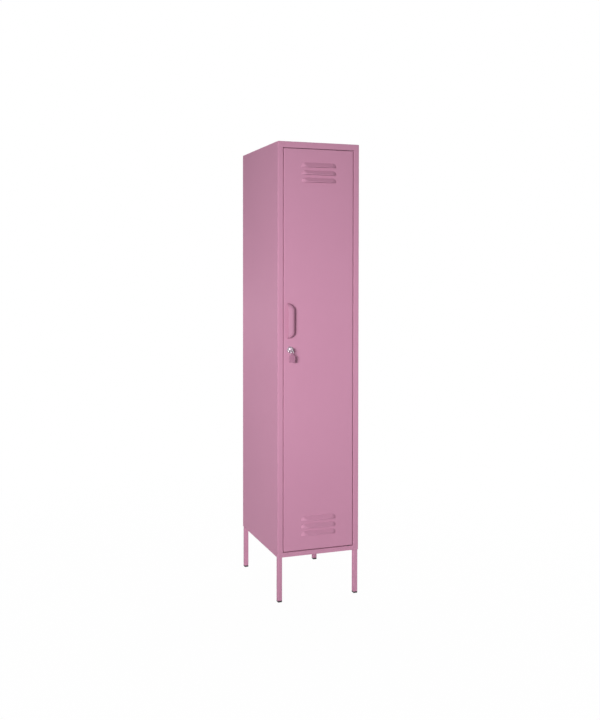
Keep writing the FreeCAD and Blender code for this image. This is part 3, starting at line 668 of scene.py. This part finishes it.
for offset in ((0, 0, STRAP_FOOT), (0, half_flare, STRAP_BEND), (0, half_flare, rise)):
    edge = pull_edge(edge, offset)
turned = bmesh.ops.spin(
    strap,
    geom=[edge, *edge.verts],
    cent=(0, 0, loop_z),
    axis=(-1, 0, 0),
    angle=math.pi,
    steps=LOOP_STEPS,
)["geom_last"]
edge = next(item for item in turned if isinstance(item, bmesh.types.BMEdge))
for offset in ((0, half_flare, -rise), (0, half_flare, -STRAP_BEND), (0, 0, -STRAP_FOOT)):
    edge = pull_edge(edge, offset)
bmesh.ops.recalc_face_normals(strap, faces=strap.faces)
bmesh.ops.solidify(strap, geom=strap.faces[:], thickness=STRAP)
spread = [vert.co.y / MM for vert in strap.verts]
print("strap from", round(min(spread), 2), "to", round(max(spread), 2), "mm")
bmesh.ops.translate(strap, verts=strap.verts, vec=(0, tag_middle.y, 0))
take_in(tag_shape, strap)
finished("leather_tag", tag_shape, leather, "key_tag", "leather", "key_tag")

# %% [markdown]
# ## Stitches
# Waxed thread runs round each layer in straight rows. One long curve could draw the thread, but half of it
# runs inside the leather, and only short lengths between two holes show. So each length is a sphere, drawn
# out along the row and set half in the leather.

# %% Stitches round the tag
STITCH_PITCH = 2.9 * MM
STITCH_SIZE = Vector((1.05, 0.34, 0.3)) * MM
STITCH_INSET = 2.2 * MM
STITCH_ROUND, STITCH_LONG = 8, 6
half_width = tag_width / 2 - STITCH_INSET
half_height = tag_height / 2 - STITCH_INSET
straight_x = tag_width / 2 - TAG_CORNER
straight_z = tag_height / 2 - TAG_CORNER
surface = SEAM / 2 + LAYER

stitches = bmesh.new()


def stitch_row(centre, direction, length):
    """Sew one straight row of drawn-out spheres that lie half in the leather."""
    count = int(length / STITCH_PITCH)
    turn = Matrix.Rotation(math.atan2(-direction.z, direction.x), 4, "Y")
    for index in range(count):
        place = centre + direction * STITCH_PITCH * (index - (count - 1) / 2)
        matrix = Matrix.Translation(place) @ turn @ Matrix.Diagonal((*STITCH_SIZE, 1))
        bmesh.ops.create_uvsphere(
            stitches, u_segments=STITCH_ROUND, v_segments=STITCH_LONG, radius=1, matrix=matrix
        )


for side in (-1, 1):
    face_y = tag_centre.y + side * surface
    for end in (-1, 1):
        row_z = tag_centre.z + end * half_height
        stitch_row(Vector((tag_centre.x, face_y, row_z)), Vector((1, 0, 0)), 2 * straight_x)
        row_x = tag_centre.x + end * half_width
        stitch_row(Vector((row_x, face_y, tag_centre.z)), Vector((0, 0, 1)), 2 * straight_z)
finished("tag_stitches", stitches, thread, "key_tag", "leather")

# %% [markdown]
# ## Screws with sockets
# The leg bolts, the pull's screws and the lock's cam screw are button heads with a six-sided socket. A
# boolean could cut the socket, but would leave long thin faces. Here the outside is one profile spun round,
# and the socket starts as a hexagon whose sides are divided until it has as many points as the head's rim, so
# that a bridge joins the two cleanly. One pattern is copied to each place.

# %% Button-head screw
RIM_POINTS = 48
HEXAGON = 6
RIM_SHARE = 0.56
SOCKET_SHARE = 0.8
SOCKET_DEPTH_SHARE = 0.6
SOCKET_SINK = 0.1 * MM
TIP_CHAMFER = 0.5 * MM
BUTTON_SHARES = ((1, 0), (1, 0.25), (0.93, 0.6), (0.77, 0.88), (RIM_SHARE, 1))


def screw_pattern(shank, tail, head_radius, head):
    """Mesh of one screw that stands on its seat at the origin, head up."""
    profile = [(0, -tail), (shank - TIP_CHAMFER, -tail), (shank, TIP_CHAMFER - tail), (shank, 0)]
    profile += [(across * head_radius, up * head) for across, up in BUTTON_SHARES]
    shape = bmesh.new()
    verts = [shape.verts.new((radius, 0, height)) for radius, height in profile]
    edges = [shape.edges.new(pair) for pair in zip(verts, verts[1:])]
    bmesh.ops.spin(
        shape,
        geom=verts + edges,
        cent=(0, 0, 0),
        axis=(0, 0, 1),
        angle=2 * math.pi,
        steps=RIM_POINTS,
        use_merge=True,
    )
    bmesh.ops.remove_doubles(shape, verts=shape.verts, dist=MERGE_WITHIN)
    rim = [edge for edge in shape.edges if edge.is_boundary]
    socket_radius = SOCKET_SHARE * RIM_SHARE * head_radius
    socket = bmesh.ops.create_circle(shape, segments=HEXAGON, radius=socket_radius)["verts"]
    bmesh.ops.translate(shape, verts=socket, vec=(0, 0, head - SOCKET_SINK))
    sides = list({edge for vert in socket for edge in vert.link_edges})
    bmesh.ops.subdivide_edges(shape, edges=sides, cuts=RIM_POINTS // HEXAGON - 1)
    mouth = [edge for edge in shape.edges if edge.is_wire]
    bmesh.ops.bridge_loops(shape, edges=rim + mouth)
    inner = bmesh.ops.extrude_edge_only(shape, edges=mouth)["geom"]
    bmesh.ops.translate(shape, verts=verts_in(inner), vec=(0, 0, -SOCKET_DEPTH_SHARE * head))
    bmesh.ops.holes_fill(shape, edges=[edge for edge in shape.edges if edge.is_boundary])
    bmesh.ops.recalc_face_normals(shape, faces=shape.faces)
    mesh = bpy.data.meshes.new("screw_pattern")
    shape.to_mesh(mesh)
    shape.free()
    return mesh


def set_screws(name, pattern, places, direction, body, node):
    """Copy the pattern to each seat, pointing its head in the direction."""
    shape = bmesh.new()
    turn = Vector((0, 0, 1)).rotation_difference(direction).to_matrix().to_4x4()
    for place in places:
        before = len(shape.verts)
        shape.from_mesh(pattern)
        shape.verts.ensure_lookup_table()
        bmesh.ops.transform(shape, matrix=Matrix.Translation(place) @ turn, verts=shape.verts[before:])
    bpy.data.meshes.remove(pattern)
    finished(name, shape, zinc, body, "zinc_steel", node)


print("socket side of", RIM_POINTS // HEXAGON, "edges")

# %% Leg bolts
BOLT_RADIUS, BOLT_HEAD_RADIUS, BOLT_HEAD, BOLT_PITCH = 3.0 * MM, 5.5 * MM, 3.3 * MM, 24 * MM
low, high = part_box("leg_bolts")
seat = high.z - BOLT_HEAD
rows = [low.y + BOLT_HEAD_RADIUS, high.y - BOLT_HEAD_RADIUS]
rows += [rows[0] + BOLT_PITCH, rows[1] - BOLT_PITCH]
sides = (low.x + BOLT_HEAD_RADIUS, high.x - BOLT_HEAD_RADIUS)
bolt = screw_pattern(BOLT_RADIUS, seat - low.z, BOLT_HEAD_RADIUS, BOLT_HEAD)
places = [Vector((x, y, seat)) for x in sides for y in rows]
set_screws("socket_leg_bolts", bolt, places, Vector((0, 0, 1)), "cabinet", "leg_bolts")

# %% Pull screws and cam screw
SCREW_RADIUS, SCREW_HEAD_RADIUS, SCREW_HEAD = 2.0 * MM, 3.8 * MM, 2.6 * MM
low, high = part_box("handle_screws")
seat = high.y - SCREW_HEAD
heights = (low.z + SCREW_HEAD_RADIUS, high.z - SCREW_HEAD_RADIUS)
screw = screw_pattern(SCREW_RADIUS, seat - low.y, SCREW_HEAD_RADIUS, SCREW_HEAD)
places = [Vector(((low.x + high.x) / 2, seat, z)) for z in heights]
set_screws("socket_pull_screws", screw, places, Vector((0, 1, 0)), "door", "handle_screws")

CAM_SCREW_RADIUS, CAM_HEAD_RADIUS, CAM_HEAD = 2.0 * MM, 6.2 * MM, 2.4 * MM
low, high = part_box("cam_screw")
seat = high.y - CAM_HEAD
cam_screw = screw_pattern(CAM_SCREW_RADIUS, seat - low.y, CAM_HEAD_RADIUS, CAM_HEAD)
place = Vector(((low.x + high.x) / 2, seat, (low.z + high.z) / 2))
set_screws("socket_cam_screw", cam_screw, [place], Vector((0, 1, 0)), "lock_barrel", "cam_screw")

# %% [markdown]
# ## Studio
# The photo has a pure white background. A world that lit the locker with that white would wash out the pink,
# so it is white only where the camera, a reflection or glass looks at it, and dim as a light. The floor is a
# pale sheet that glows to the same rays, less near the locker so that its shadow stays, and is clear from
# below so that the underside can be looked at. The key lamp stands on the left, a little below the height of
# the locker's top. Its narrow spread leaves the top and the foot of the door darker, as in the photo. A weak
# fill from the right keeps the shadows open, a small lamp behind brightens the back of the left side, and
# three lamps out of the photo's sight light the right side, the back and the top.

# %% White world
AMBIENT = 0.055
WHITE = (1, 1, 1, 1)

world = bpy.data.worlds.new("white_studio")
world.use_nodes = True
bpy.context.scene.world = world
surround = Wiring(world.node_tree)
backdrop = surround.tree.nodes["Background"]
surround.connect(backdrop.inputs["Color"], WHITE)
surround.connect(backdrop.inputs["Strength"], AMBIENT + (1 - AMBIENT) * surround.looked_at())
print("world light", AMBIENT)

# %% Pale floor
FLOOR_SIZE = 30.0
FLOOR_GREY = (0.9, 0.9, 0.9, 1)
FLOOR_ROUGHNESS = 0.9
GLOW = 0.985
SHADOW_RANGE = 2.5
SHADOW_NEAR, SHADOW_FAR = 0.25, 0.9

floor_mesh = bpy.data.meshes.new("studio_floor")
shape = bmesh.new()
bmesh.ops.create_grid(shape, x_segments=1, y_segments=1, size=FLOOR_SIZE)
shape.to_mesh(floor_mesh)
shape.free()
floor = bpy.data.objects.new("studio_floor", floor_mesh)
bpy.context.collection.objects.link(floor)
pale = Finish("pale_floor", Base_Color=FLOOR_GREY, Roughness=FLOOR_ROUGHNESS, Specular_IOR_Level=0.0)
reach = pale.node("ShaderNodeVectorMath", {"operation": "LENGTH"}, {0: pale.place}, "Value")
away = pale.ramp(1 / SHADOW_RANGE * reach, SHADOW_NEAR, SHADOW_FAR)
glowing = pale.looked_at() * (GLOW + (1 - GLOW) * away)
glow = pale.node("ShaderNodeEmission", {}, {"Color": WHITE, "Strength": 1.0})
lit = Value(pale, pale.shader.outputs[0])
from_above = pale.node("ShaderNodeMixShader", {}, {0: glowing, 1: lit, 2: glow})
from_below = pale.node("ShaderNodeNewGeometry", output="Backfacing")
clear = pale.node("ShaderNodeBsdfTransparent")
shown = pale.node("ShaderNodeMixShader", {}, {0: from_below, 1: from_above, 2: clear})
pale.connect(pale.tree.nodes["Material Output"].inputs["Surface"], shown)
floor_mesh.materials.append(pale.material)
print("floor", 2 * FLOOR_SIZE, "m wide")

# %% Lamps
LAMPS = {
    "key_lamp": dict(turn=40, height=1.6, distance=5.0, width=2.06, tall=0.88, power=31.9, spread=62),
    "fill_lamp": dict(turn=-45, height=1.1, distance=3.2, width=1.6, tall=0.8, power=5.5),
    "side_lamp": dict(
        turn=140, height=1.1, distance=1.0, width=0.25, tall=0.25, power=0.2, aim=1.1, spread=90
    ),
    "right_lamp": dict(turn=-112, height=1.2, distance=3.2, width=0.9, tall=0.9, power=22),
    "back_lamp": dict(turn=222, height=2.2, distance=3.2, width=0.9, tall=0.9, power=45, aim=1.1),
    "top_lamp": dict(turn=180, height=3.6, distance=1.2, width=0.8, tall=0.8, power=30, aim=1.8),
}


def soft_lamp(name, turn, height, distance, width, tall, power, aim=1.0, spread=180):
    """Flat lamp that faces the locker, turned from straight in front towards the left."""
    target = Vector((0, (cad_low.y + cad_high.y) / 2, aim))
    angle = math.radians(turn)
    data = bpy.data.lights.new(name, "AREA")
    data.shape = "RECTANGLE"
    data.size = width
    data.size_y = tall
    data.energy = power
    data.spread = math.radians(spread)
    lamp = bpy.data.objects.new(name, data)
    lamp.location = (target.x - distance * math.sin(angle), target.y - distance * math.cos(angle), height)
    lamp.rotation_euler = (target - lamp.location).to_track_quat("-Z", "Y").to_euler()
    lamp.visible_camera = False
    bpy.context.collection.objects.link(lamp)
    print(name, [round(v, 2) for v in lamp.location], power, "W")


for name, sizes in LAMPS.items():
    soft_lamp(name, **sizes)

# %% [markdown]
# ## View transform
# The plain view transform shows each colour as it is written.

# %% View transform
bpy.context.scene.view_settings.view_transform = "Standard"
